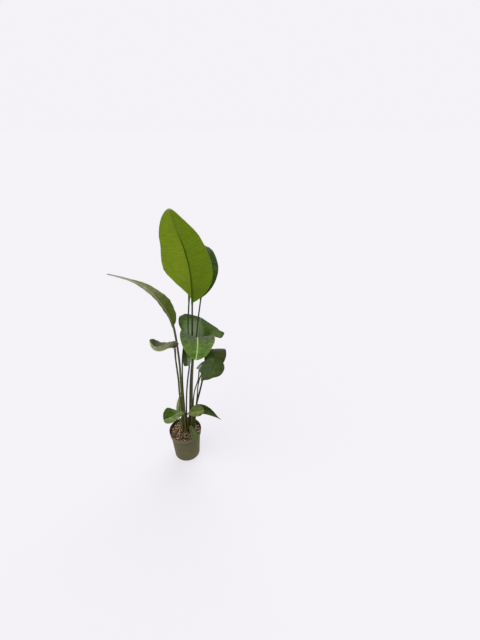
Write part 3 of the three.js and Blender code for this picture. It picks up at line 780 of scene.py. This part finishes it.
def blade_colour(f, m, look):
    colour = halves(f, m, look.upper, look.under)
    if look.far:
        far, start, end = look.far
        colour = f.blend(colour, halves(f, m, far, far), m.along.rise(start, end))
    colour = f.shade(
        colour,
        (VEIN_SHADE, (m.stripe * 0.45 + m.fine * 0.55) * look.veins),
        (BAND_SHADE, m.band.rise(0.35, 0.65) * look.bands),
        (PATCH_LIGHT, m.patches.rise(0.45, 0.75) * 0.5),
        (FRECKLE_DARK, m.freckle.rise(0.48, 0.65) * look.freckles),
        (FRECKLE_LIGHT, m.freckle.rise(0.5, 0.36) * look.freckles))
    for tint, place, size, share in look.patches:
        colour = f.blend(colour, tint, patch_share(m, place, size, share))
    colour = f.blend(colour, look.rib, midrib_share(m, look.rib_width, look.rib_end))
    margin = m.across.size().rise(look.margin_from, MARGIN_FULL)
    colour = f.blend(colour, look.margin, margin * look.margin_share)
    # On the curled leaf this tip colour is painted shade in the curl; on the others it is a dry tip.
    if look.tip_zone:
        tip_tint, start, share = look.tip_zone
        colour = f.blend(colour, tip_tint, m.along.rise(start, min(start + TIP_FADE, 1.0)) * share)
    return colour


def stalk_colour(f, m, look):
    colour = f.blend(look.stalk, look.foot, 1 - m.along.rise(*FOOT_ZONE))
    return f.shade(
        colour,
        (STALK_TOP, m.along.rise(*TOP_ZONE)),
        (STREAK_SHADE, m.streaks.rise(0.42, 0.68) * 0.6),
        (STREAK_LIGHT, m.streaks.rise(0.55, 0.3) * 0.3))


def leaf_finish(name, look):
    f = Finish(name)
    m = leaf_marks(f)
    colour = f.blend(stalk_colour(f, m, look), blade_colour(f, m, look), m.in_blade)
    colour = f.blend(colour, DUST, m.speckle.rise(0.72, 0.8) * 0.35)
    rough = look.gloss + (1 - m.upper_face) * 0.1 + m.patches * 0.12 + m.on_stalk * 0.1
    relief = (m.stripe * 0.45 + m.fine * 0.4 + m.speckle * 0.15) * m.in_blade
    relief = relief + m.streaks * m.on_stalk * 0.8
    body = f.body(colour, rough.clamped(), look.shine, relief, strength=0.4, depth=SPECK_DEPTH)
    through = f.node("BsdfTranslucent", {"Color": rgba(look.glow)})
    thin = look.thin * m.in_blade * (1 - 0.8 * (1 - m.rib_gap.rise(1.2, 3.2)))
    thin = thin * (1 - m.stripe * 0.2) * (1 - m.band.rise(0.4, 0.7) * 0.15)
    return f.surface(f.node("MixShader", {0: thin, 1: body, 2: through}))


print("midrib, veins, margin and patches are mixed in", blade_colour.__name__)

# %% Leaf looks
STALK_OLIVE = (75, 78, 20)
STALK_YELLOW = (130, 130, 40)
STALK_DARK = (54, 54, 20)
STALK_GREY = (70, 74, 40)
FOOT_BROWN = (45, 42, 8)
FOOT_RED = (140, 110, 22)
GREY_WAX_AND_SHEEN = (150, 185, 110)
USUAL_LOOK = dict(
    far=None, patches=[], tip_zone=None, rib_width=2.2, rib_end=1.3, margin_from=0.955, margin_share=0.6,
    veins=0.5, bands=0.4, freckles=0.5, foot=FOOT_BROWN, thin=0.15, gloss=0.5, shine=0.12)
LOOKS = {
    "leaf_tall_front": dict(
        upper=(60, 110, 10), under=((145, 225, 17), (225, 310, 24)),
        # The dark patch near the tip is a painted shadow of the rolled leaf behind this blade.
        patches=[((140, 170, 20), (0.84, 0.0), (0.2, 0.5), 0.5)], tip_zone=((450, 500, 300), 0.975, 0.8),
        rib=(50, 85, 3), rib_width=2.6, rib_end=0.86, margin=(120, 170, 30), veins=0.7, bands=0.35,
        freckles=0.25, stalk=STALK_DARK, glow=(460, 560, 20), thin=0.5, gloss=0.55, shine=0.06),
    "leaf_tall_back": dict(
        upper=(55, 100, 8), under=(90, 135, 30), far=((55, 90, 20), 0.2, 0.5), rib=(90, 140, 30),
        margin=(50, 80, 15), stalk=STALK_GREY, glow=(100, 200, 10)),
    "leaf_new_rolled": dict(
        upper=(100, 150, 30), under=(100, 150, 30), rib=(120, 170, 50), margin=(120, 170, 50),
        stalk=STALK_GREY, glow=(160, 280, 20), thin=0.2, shine=0.15),
    "leaf_arching_left": dict(
        upper=((115, 140, 25), (115, 170, 10)), under=(140, 170, 50),
        far=(((240, 250, 130), (270, 290, 130)), 0.2, 0.6), tip_zone=((330, 300, 290), 0.68, 0.95),
        rib=(460, 480, 250), rib_width=2, margin=(150, 170, 60), veins=0.7, stalk=STALK_YELLOW,
        foot=FOOT_RED, glow=(220, 300, 20), thin=0.18),
    "leaf_curled_left": dict(
        upper=(200, 230, 140), under=((350, 370, 200), (300, 330, 170)),
        # The dark patch at the blade's base is painted shade on the underside, and the dark tip zone is
        # painted shade inside the curl.
        patches=[((30, 40, 12), (0.02, 0.0), (0.2, 2.0), 1.0)], tip_zone=((100, 110, 60), 0.86, 0.6),
        rib=(620, 620, 380), rib_width=2.6, margin=(300, 300, 180), veins=1.0, bands=0.7,
        stalk=STALK_OLIVE, foot=FOOT_RED, glow=(200, 240, 80)),
    "leaf_middle_front": dict(
        upper=((72, 100, 38), (68, 100, 34)), under=(80, 120, 40),
        far=(((125, 222, 36), (135, 236, 36)), 0.4, 0.85),
        # The grey patches are wax bloom with a painted sheen of the sky on it.
        patches=[(GREY_WAX_AND_SHEEN, (0.12, -0.75), (0.35, 0.5), 0.8),
                 (GREY_WAX_AND_SHEEN, (0.12, 0.75), (0.35, 0.5), 0.8)], rib=(420, 580, 220), rib_width=2.4,
        margin=(300, 360, 160), margin_share=0.7, veins=0.55, freckles=0.6, stalk=STALK_OLIVE,
        glow=(140, 260, 20)),
    "leaf_middle_back": dict(
        upper=((70, 130, 13), (65, 120, 15)), under=(60, 90, 30),
        far=(((18, 34, 4), (35, 65, 8)), 0.3, 0.62),
        # The grey patch round the stalks is a painted sheen of the sky on the glossy blade.
        patches=[((270, 330, 200), (0.08, -0.35), (0.38, 0.62), 0.9),
                 ((160, 220, 70), (0.12, 0.7), (0.2, 0.3), 0.6)], rib=(100, 160, 60),
        margin=(35, 60, 12), margin_from=0.85, veins=1.0, bands=0.8, stalk=STALK_DARK,
        glow=(100, 180, 20), thin=0.12, gloss=0.6, shine=0.06),
    "leaf_middle_drooping": dict(
        upper=((40, 72, 18), (18, 34, 4)), under=(60, 90, 30),
        far=(((180, 250, 110), (55, 90, 17)), 0.4, 0.8), rib=(50, 80, 20), margin=(100, 140, 60),
        margin_share=0.3, stalk=STALK_DARK, glow=(100, 180, 20), thin=0.12),
    "leaf_right_front": dict(
        upper=((90, 135, 36), (50, 88, 14)), under=(60, 85, 30),
        far=(((78, 124, 30), (88, 132, 30)), 0.45, 0.8),
        # The grey patch is wax bloom with a painted sheen of the sky on it.
        patches=[(GREY_WAX_AND_SHEEN, (0.4, 0.3), (0.45, 0.8), 0.35),
                 # The pale patch at the neck is a painted highlight.
                 ((620, 640, 540), (0.05, -0.5), (0.2, 0.8), 1.0)], rib=(60, 100, 30),
        margin=(40, 60, 15), margin_from=0.8, veins=0.9, bands=0.8, stalk=STALK_OLIVE,
        glow=(80, 150, 20), thin=0.1),
    "leaf_right_back": dict(
        upper=((54, 98, 6), (60, 90, 12)), under=(40, 60, 15),
        far=(((20, 43, 2), (48, 66, 10)), 0.2, 0.5),
        patches=[((100, 100, 30), (0.3, 0.4), (0.35, 0.5), 0.5)], rib=(50, 60, 15), margin=(20, 30, 6),
        margin_from=0.85, veins=0.6, stalk=STALK_DARK, glow=(80, 120, 10), thin=0.1),
    "leaf_low_left": dict(
        upper=((165, 225, 70), (56, 100, 5)), under=(100, 140, 50),
        patches=[((150, 210, 80), (0.15, 0.6), (0.35, 1.2), 0.9)], rib=(220, 290, 100),
        margin=(30, 55, 6), margin_from=0.86, freckles=0.8, stalk=(130, 135, 50), glow=(160, 280, 20),
        shine=0.1),
    "leaf_low_upright": dict(
        upper=(310, 350, 160), under=(310, 350, 160), rib=(200, 240, 100), margin=(280, 310, 160),
        veins=0.3, stalk=(140, 150, 60), glow=(280, 340, 100), thin=0.25, gloss=0.55, shine=0.1),
    "leaf_low_right": dict(
        upper=((135, 180, 37), (220, 270, 74)), under=(120, 150, 50),
        patches=[((40, 60, 10), (0.85, 0.85), (0.35, 0.35), 0.8)], rib=(200, 250, 70), rib_width=1.6,
        margin=(240, 280, 120), veins=1.0, bands=0.6, stalk=STALK_OLIVE, glow=(200, 300, 20), thin=0.2),
    "leaf_low_far_right": dict(
        upper=((33, 55, 6), (70, 100, 26)), under=(50, 70, 25), rib=(40, 60, 15), margin=(40, 55, 15),
        veins=0.6, stalk=STALK_DARK, glow=(80, 130, 10), thin=0.1),
    "leaf_low_over_rim": dict(
        upper=((120, 150, 55), (108, 144, 48)), under=(100, 120, 50), rib=(120, 150, 60),
        margin=(120, 140, 60), veins=0.6, stalk=STALK_OLIVE, glow=(120, 180, 30), thin=0.12, gloss=0.55),
}
for name, piece in leaves.items():
    look = SimpleNamespace(**{**USUAL_LOOK, **LOOKS[name]})
    piece.data.materials.append(leaf_finish(name.removeprefix("leaf_") + "_green", look))
print(len(LOOKS), "leaf finishes")

# %% [markdown]
# ## The pot
#
# A grower's pot is blown or pressed from thin plastic. It tapers to its foot so that pots
# stack, a wider band stiffens its rim, and holes in the floor drain it. Turning an outline
# round the middle is how such a shape is drawn, and its corners are all small arcs, so the
# outline is written as corners, each (distance out, height, radius of its arc).

# %% Pot outline
POT_TOP = 158
RIM_RADIUS = 76
BAND_BOTTOM = 131
NECK_RADIUS = 69.5
BAND_RADIUS = NECK_RADIUS + 4
BASE_RADIUS = 60
WALL = 2
FLOOR = 2.5
POT_SIDES = 128
ARC_STEPS = 6
POT_CORNERS = [
    (0, 0, 0), (BASE_RADIUS, 0, 3.5), (NECK_RADIUS, BAND_BOTTOM, 1), (BAND_RADIUS, BAND_BOTTOM, 1.4),
    (RIM_RADIUS - 0.7, POT_TOP - 5, 1.5), (RIM_RADIUS, POT_TOP - 3.6, 1), (RIM_RADIUS, POT_TOP, 1.2),
    (RIM_RADIUS - WALL - 0.4, POT_TOP, 1.0), (BAND_RADIUS - WALL, BAND_BOTTOM + 3.5, 1.5),
    (NECK_RADIUS - WALL, BAND_BOTTOM + 1, 1.5), (BASE_RADIUS - WALL, FLOOR, 3), (0, FLOOR, 0),
]


def rounded(corners):
    """The outline through the corners, each turned into an arc of its radius."""
    spots = [Vector(corner[:2]) for corner in corners]
    points = spots[:1]
    for before, here, after, corner in zip(spots, spots[1:], spots[2:], corners[1:]):
        radius = corner[2]
        back, on = (before - here).normalized(), (after - here).normalized()
        half = back.angle(on) / 2
        run = radius / math.tan(half)
        centre = here + (back + on).normalized() * radius / math.sin(half)
        first, last = here + back * run - centre, here + on * run - centre
        for step in range(ARC_STEPS + 1):
            points.append(centre + first.slerp(last, step / ARC_STEPS).normalized() * radius)
    return points + spots[-1:]


def turned(name, line, sides, height=None):
    """A closed piece of revolution. Where the line gives no height, height(x, y) does."""
    places = []
    for row, (r, z) in enumerate(line):
        for k in range(1 if row in (0, len(line) - 1) else sides):
            x, y = r * math.cos(2 * math.pi * k / sides), r * math.sin(2 * math.pi * k / sides)
            places.append((x * MM, y * MM, (height(x, y) if z is None else z) * MM))
    top = len(places) - 1
    faces = []
    for k in range(sides):
        beside = (k + 1) % sides
        faces.append((0, 1 + beside, 1 + k))
        for row in range(1, top - sides, sides):
            faces.append((row + k, row + beside, row + beside + sides, row + k + sides))
        faces.append((top - sides + k, top - sides + beside, top))
    mesh = bpy.data.meshes.new(name)
    mesh.from_pydata(places, [], faces)
    mesh.shade_smooth()
    return put(name, mesh)


pot = turned("grower_pot", rounded(POT_CORNERS), POT_SIDES)
print("the pot has", len(pot.data.polygons), "faces")

# %% [markdown]
# ## Drain holes
#
# The same plug repeats round a ring, so Geometry Nodes place it: a circle of points, a short
# cylinder on each, and Realize Instances. The plugs are then cut out of the pot's floor with
# a Boolean, and the pot keeps only the plain result.

# %% Drain holes
DRAIN_COUNT = 8
DRAIN_RADIUS = 5
DRAIN_RING = 49
PLUG_SIDES = 32
PLUG_LENGTH = 15
POT_SHARP_EDGE = 40
WALL_SLOPE = 0.08
DUST_AND_SHADE_WITHIN = (72.2, 73.2)


def baked_mesh(piece):
    graph = bpy.context.evaluated_depsgraph_get()
    return bpy.data.meshes.new_from_object(piece.evaluated_get(graph), depsgraph=graph)


class Recipe:
    """A Geometry Nodes tree in the making, with named inputs and one geometry output."""

    def __init__(self, name, **inputs):
        self.tree = bpy.data.node_groups.new(name, "GeometryNodeTree")
        self.values = {}
        for way in ("INPUT", "OUTPUT"):
            self.tree.interface.new_socket("Geometry", in_out=way, socket_type="NodeSocketGeometry")
        for label, value in inputs.items():
            kind = "NodeSocketInt" if isinstance(value, int) else "NodeSocketFloat"
            item = self.tree.interface.new_socket(label, in_out="INPUT", socket_type=kind)
            self.values[item.identifier] = value
        self.given = self.node("NodeGroupInput").outputs

    def node(self, kind, inputs=None, **settings):
        """A type without Node in its name is a GeometryNode."""
        kind = kind if "Node" in kind else "GeometryNode" + kind
        return add_node(self.tree, kind, inputs, **settings)

    def cook(self, piece, geometry, material):
        """Runs the tree on the piece and returns the dressed geometry as a plain mesh."""
        real = self.node("RealizeInstances", {0: geometry})
        dressed = self.node("SetMaterial", {"Geometry": real, "Material": material})
        self.node("NodeGroupOutput", {0: dressed})
        modifier = piece.modifiers.new(self.tree.name, "NODES")
        modifier.node_group = self.tree
        for identifier, value in self.values.items():
            modifier[identifier] = value
        mesh = baked_mesh(piece)
        piece.modifiers.remove(modifier)
        return mesh


def drain_plugs(material):
    recipe = Recipe("drain_plugs", Count=DRAIN_COUNT, Ring=DRAIN_RING * MM, Hole=DRAIN_RADIUS * MM)
    given = recipe.given
    ring = recipe.node("MeshCircle", {"Vertices": given["Count"], "Radius": given["Ring"]})
    rotation = (0.0, 0.0, math.pi / DRAIN_COUNT)
    turned_ring = recipe.node("Transform", {"Geometry": ring, "Rotation": rotation})
    plug = recipe.node("MeshCylinder", {
        "Vertices": PLUG_SIDES, "Radius": given["Hole"], "Depth": PLUG_LENGTH * MM})
    spread = recipe.node("InstanceOnPoints", {"Points": turned_ring, "Instance": plug})
    return put("drain_plugs", recipe.cook(pot, spread, material))


def pot_finish():
    """Olive plastic: painted shade in the step under the band, brown soil dust and painted shade inside
    the rim.
    """
    f = Finish("olive_pot_plastic")
    height, radius = f.place()
    cloud, fleck, wipe = f.grain(14, 4), f.grain(600, 2), f.grain(22, 3, stretch=(1, 1, 5))
    band = height.rise(BAND_BOTTOM + 2, BAND_BOTTOM + 8)
    painted_shade_below_band = height.rise(BAND_BOTTOM - 12, BAND_BOTTOM - 2)
    step = painted_shade_below_band * (1 - height.rise(BAND_BOTTOM, BAND_BOTTOM + 2))
    inside = 1 - (radius - (height - BAND_BOTTOM) * WALL_SLOPE).rise(*DUST_AND_SHADE_WITHIN)
    colour = f.blend((88, 80, 30), (112, 104, 42), cloud.rise(0.35, 0.7))
    for tint, share in (
        ((60, 55, 20), wipe.rise(0.55, 0.8) * 0.5),
        ((150, 125, 55), band * 0.25),
        # Painted shade: a dark ring in the step under the band, where the band's shadow falls.
        ((30, 27, 10), step),
        # Soil dust and painted shade: the inner wall above the mix is darkened brown.
        ((50, 35, 16), inside * height.rise(BAND_BOTTOM, POT_TOP - 12) * 0.8),
        ((200, 180, 100), fleck.rise(0.68, 0.8) * 0.3),
    ):
        colour = f.blend(colour, tint, share)
    rough = 0.55 + cloud * 0.15 + fleck * 0.05
    relief = fleck * 0.6 + wipe * 0.4
    return f.surface(f.body(colour, rough.clamped(), 0.2, relief, strength=0.25, depth=0.0003))


pot_plastic = pot_finish()
pot.data.materials.append(pot_plastic)
plugs = drain_plugs(pot_plastic)
cut = pot.modifiers.new("drain holes", "BOOLEAN")
cut.operation = "DIFFERENCE"
cut.solver = "EXACT"
cut.object = plugs
pot_mesh = baked_mesh(pot)
pot.modifiers.remove(cut)
pot.data = pot_mesh
pot.data.shade_smooth()
pot.data.set_sharp_from_angle(angle=math.radians(POT_SHARP_EDGE))
bpy.data.objects.remove(plugs)
print("pot has", len(pot.data.polygons), "faces and", DRAIN_COUNT, "drain holes")

# %% [markdown]
# ## The potting mix
#
# The mix is a heap of small things: dark peat, torn bark and white perlite. One mesh carries
# the heap's slow rise to the crown with a rough skin, and Geometry Nodes then strew bark,
# fibres and perlite over it from fixed seeds. Each crumb is a block or a ball with few
# faces, squashed and turned at random, and it remembers a tone of its own.

# %% Potting mix
SOIL_TOP = 141
SOIL_GAP = 0.4
MOUND = 3
SWELL_HEIGHT = 1.08
CRUMB_NOISE = ((0, 0.32, 1.6), (9, 0.9, 0.8))
SOIL_RINGS = 56
SOIL_SIDES = 144
SOIL_EDGE = 71.6
SHADE_PATCH_TINT = (500, 420, 360)
STREW_DEPTH = 4
STREW_MARGIN = 3.5
ROUGHNESS = 0.8
ROUGH_SCALE = 900
ROUGH_SEED = 5
CRUMB_TILT = 0.6
FULL_TURN = 6.28


def soil_height(x, y):
    far = math.hypot(x, y) / NECK_RADIUS
    across = math.sin(0.47 * x + 1.7 * math.sin(0.31 * y))
    along = math.cos(0.53 * y - 1.3 * math.sin(0.29 * x))
    crumbs = sum(noise.noise(Vector((x, y, z)) * scale) * rise for z, scale, rise in CRUMB_NOISE)
    return SOIL_TOP + MOUND * (1 - far * far) + SWELL_HEIGHT * across * along + crumbs


def soil_line():
    """The heap's outline from its bottom up the pot's wall, then inwards over its top."""
    inset = WALL + SOIL_GAP
    wall = [(0, FLOOR + SOIL_GAP), (BASE_RADIUS - inset - 2, FLOOR + SOIL_GAP),
            (BASE_RADIUS - inset, FLOOR + 3), (NECK_RADIUS - inset, BAND_BOTTOM + 1),
            (BAND_RADIUS - inset, BAND_BOTTOM + 3.5)]
    return wall + [(SOIL_EDGE * ring / SOIL_RINGS, None) for ring in range(SOIL_RINGS, -1, -1)]


# Painted shade: darkens the mix in soft random patches.
def painted_shade_patches(f, colour):
    return f.shade(colour, (SHADE_PATCH_TINT, f.grain(28, 2).rise(0.45, 0.6) * 0.7))


def peat_finish():
    f = Finish("dark_peat")
    clod, fibre = f.grain(160, 4), f.grain(700, 3)
    colour = f.blend((35, 21, 9), (160, 100, 48), clod.rise(0.4, 0.65))
    colour = f.blend(colour, (340, 230, 130), fibre.rise(0.6, 0.75) * 0.5)
    relief = clod * 0.6 + fibre * 0.4
    return f.surface(f.body(painted_shade_patches(f, colour), 0.95, 0.1, relief, strength=0.9, depth=0.0012))


def crumb_finish(name, dark, pale, pale_from, scale):
    """Most crumbs are dark. Those whose tone is above pale_from turn pale."""
    f = Finish(name)
    tone, grain = f.mark("tone"), f.grain(scale, 3)
    colour = f.blend(dark, pale, tone.rise(pale_from, 0.95))
    colour = f.blend(colour, tuple(0.45 * c for c in dark), grain.rise(0.5, 0.75) * 0.6)
    return f.surface(f.body(painted_shade_patches(f, colour), 0.85, 0.15, grain, strength=0.6, depth=SPECK_DEPTH))


def strew(name, heap, material, density, seed, size, squash, chip=False):
    """Strews crumbs on the top of a heap, as chips cut from a cube or as balls."""
    recipe = Recipe(name, Density=float(density), Seed=seed, Smallest=size[0], Largest=size[1])
    given, node = recipe.given, recipe.node
    x, y, z = node("ShaderNodeSeparateXYZ", {0: node("InputPosition")}).outputs
    lowest, edge = (SOIL_TOP - STREW_DEPTH) * MM, (SOIL_EDGE - STREW_MARGIN) * MM
    high = node("FunctionNodeCompare", {0: z, 1: lowest}, operation="GREATER_THAN")
    flat = node("ShaderNodeCombineXYZ", {0: x, 1: y})
    far = node("ShaderNodeVectorMath", {0: flat}, operation="LENGTH")
    inside = node("FunctionNodeCompare", {0: far, 1: edge}, operation="LESS_THAN")
    points = node("DistributePointsOnFaces", {
        "Mesh": given["Geometry"], "Selection": node("FunctionNodeBooleanMath", {0: high, 1: inside}),
        "Density": given["Density"], "Seed": given["Seed"]})
    if chip:
        lump = node("MeshCube", {
            "Size": (2.0, 2.0, 2.0), "Vertices X": 3, "Vertices Y": 3, "Vertices Z": 2})
    else:
        lump = node("MeshIcoSphere", {"Radius": 1.0, "Subdivisions": 1})
    squashed = node("Transform", {"Geometry": lump, "Scale": squash})
    turn = node("FunctionNodeRandomValue", {
        "Min": (-CRUMB_TILT, -CRUMB_TILT, 0.0), "Max": (CRUMB_TILT, CRUMB_TILT, FULL_TURN),
        "Seed": seed + 1}, data_type="FLOAT_VECTOR")
    scale = node("FunctionNodeRandomValue", {2: given["Smallest"], 3: given["Largest"], "Seed": seed + 2})
    spread = node("InstanceOnPoints", {
        "Points": points, "Instance": squashed, "Rotation": turn, "Scale": scale})
    tone = node("FunctionNodeRandomValue", {"Seed": seed + 3})
    toned = node("StoreNamedAttribute", {
        "Geometry": spread, "Name": "tone", "Value": tone}, domain="INSTANCE")
    piece = put(name, recipe.cook(heap, toned, material))
    roughen(piece.data)
    return piece


def roughen(mesh):
    """Pushes each crumb's corners about, so that no two crumbs are alike."""
    noise.seed_set(ROUGH_SEED)
    for vertex in mesh.vertices:
        vertex.co += noise.noise_vector(vertex.co * ROUGH_SCALE) * ROUGHNESS * MM


heap = turned("potting_mix_heap", soil_line(), SOIL_SIDES, soil_height)
heap.data.materials.append(peat_finish())
torn_bark = crumb_finish("torn_bark", (85, 46, 19), (800, 580, 360), pale_from=0.6, scale=300)
white_perlite = crumb_finish(
    "white_perlite", (500, 430, 340), (850, 800, 720), pale_from=0.2, scale=500)
CRUMBS = {
    "bark_chips": dict(material=torn_bark, density=80000, seed=4, size=(0.0012, 0.0035),
                       squash=(1.2, 0.7, 0.35), chip=True),
    "peat_fibres": dict(material=torn_bark, density=9000, seed=11, size=(0.003, 0.006),
                        squash=(1.5, 0.14, 0.12)),
    "perlite_grains": dict(material=white_perlite, density=15000, seed=21, size=(0.001, 0.0023),
                           squash=(1, 0.85, 0.8)),
}
mix_pieces = [heap, *(strew(name, heap, **crumb) for name, crumb in CRUMBS.items())]
for piece in mix_pieces:
    print(piece.name, len(piece.data.polygons), "faces")

# %% [markdown]
# ## Floor and light
#
# The plant was photographed on plain white. A white floor and a sky that is as white at the
# horizon give that, with no line between them. The sky is dimmer overhead, so that the
# leaves keep their dark greens, and two suns shape them: a soft one from the upper left
# front, and one from behind that makes the tall blade glow. Most of the floor's brightness is
# its own, which keeps the shadows faint. The rest is its colour times the light on it,
# worked out so that the floor ends up as bright as the sky.

# %% Floor and light
PALE = (0.905, 0.888, 0.93)
SKY_TOP = 0.38
SKY_FADE = (0.21, 0.6)
SUN_SPREAD = 60
SUNS = {
    "front sun": dict(comes_from=(-0.7, -0.55, 1.2), strength=1.7),
    "back sun": dict(comes_from=(0.25, 1.0, 0.85), strength=2.2),
}
SKY_ON_FLOOR = 0.455
FLOOR_GLOW = 0.7
FLOOR_SIDE = 40


def make_suns():
    """Adds the suns and returns the light that they throw on the floor, as a share of white."""
    on_floor = 0
    for name, sun in SUNS.items():
        way = Vector(sun["comes_from"]).normalized()
        data = bpy.data.lights.new(name, "SUN")
        data.energy = sun["strength"]
        data.angle = math.radians(SUN_SPREAD)
        put(name, data).rotation_euler = way.to_track_quat("Z", "Y").to_euler()
        on_floor += sun["strength"] * way.z / math.pi
    return on_floor


def make_sky():
    world = bpy.data.worlds.new("pale sky")
    world.use_nodes = True
    tree = world.node_tree
    way = add_node(tree, "ShaderNodeTexCoord").outputs["Generated"]
    height = add_node(tree, "ShaderNodeSeparateXYZ", {0: way}).outputs["Z"]
    fade = add_node(tree, "ShaderNodeMapRange", {
        "Value": height, "From Min": SKY_FADE[0], "From Max": SKY_FADE[1], "To Min": 1, "To Max": SKY_TOP,
    }, interpolation_type="SMOOTHSTEP")
    set_inputs(tree, tree.nodes["Background"], {"Color": (*PALE, 1), "Strength": fade})
    bpy.context.scene.world = world


def make_floor(sun_share):
    colour = [(1 - FLOOR_GLOW) * pale / (pale * SKY_ON_FLOOR + sun_share) for pale in PALE]
    f = Finish("pale_floor")
    body = f.node("BsdfPrincipled", {
        "Base Color": (*colour, 1), "Roughness": 1.0, "Specular IOR Level": 0.0,
        "Emission Color": (*PALE, 1), "Emission Strength": FLOOR_GLOW})
    mesh = bpy.data.meshes.new("floor")
    corners = [(x * FLOOR_SIDE, y * FLOOR_SIDE, 0) for x, y in ((-1, -1), (1, -1), (1, 1), (-1, 1))]
    mesh.from_pydata(corners, [], [(0, 1, 2, 3)])
    mesh.materials.append(f.surface(body))
    floor = put("floor", mesh)
    return colour


make_sky()
floor_colour = make_floor(make_suns())
bpy.context.scene.view_settings.view_transform = "Standard"
print("sky, two suns and a floor of", [round(c, 3) for c in floor_colour])

# %% [markdown]
# ## Riding on the frame
#
# Nothing on this plant moves by itself, so every piece rides on the one body, and the
# solid of the frame that each one replaces is hidden.

# %% Ride and replace
for name, piece in leaves.items():
    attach(piece, "root")
    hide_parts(name)
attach(pot, "root")
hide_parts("pot")
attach(heap, "root")
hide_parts("potting_mix")
for piece in mix_pieces:
    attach(piece, "root")
